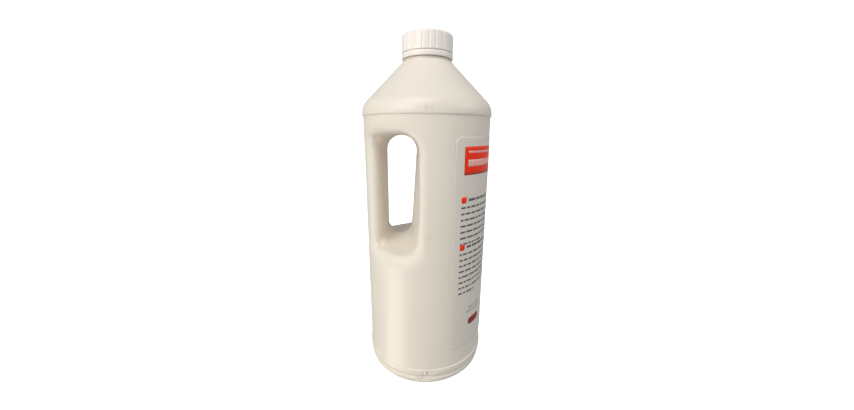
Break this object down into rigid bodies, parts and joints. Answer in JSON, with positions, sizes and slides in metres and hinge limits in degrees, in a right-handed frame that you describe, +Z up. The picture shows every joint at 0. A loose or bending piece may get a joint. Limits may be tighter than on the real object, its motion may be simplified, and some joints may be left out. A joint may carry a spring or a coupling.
{
  "type": "household bottle",
  "caption": "Round one litre plastic bottle with a handle hole moulded through its body, a conical shoulder and a ribbed screw cap over a tamper band.",
  "frame": {"origin": "centre of the foot, on the surface that the bottle stands on", "axes": "+Z up along the bottle's axis, -X towards the grip, +X towards the middle of the label, Y through the handle hole"},
  "size_m": [0.0902, 0.0902, 0.2394],
  "materials": {
    "bottle_plastic": "satin, ivory",
    "band_plastic": "satin, white",
    "cap_plastic": "satin, white",
    "liner_foam": "matt foam",
    "label_film": "clear gloss film with printed marks"
  },
  "bodies": {
    "bottle": {"bottle": "bottle_plastic", "tamper_band": "band_plastic", "front_label": "label_film"},
    "liner": {"cap_liner": "liner_foam"},
    "cap": {"cap": "cap_plastic"}
  },
  "joints": [
    {"name": "cap_lift", "type": "slide", "parent": "bottle", "child": "liner", "axis": [0, 0, 1], "range_m": [0, 0.006]},
    {"name": "cap_turn", "type": "hinge", "parent": "liner", "child": "cap", "pos_m": [0, 0, 0.2278], "axis": [0, 0, 1], "range_deg": [0, 540]}
  ],
  "couplings": [
    {"joint": "cap_turn", "follows": "cap_lift", "rad_per_m": 1570.8}
  ]
}
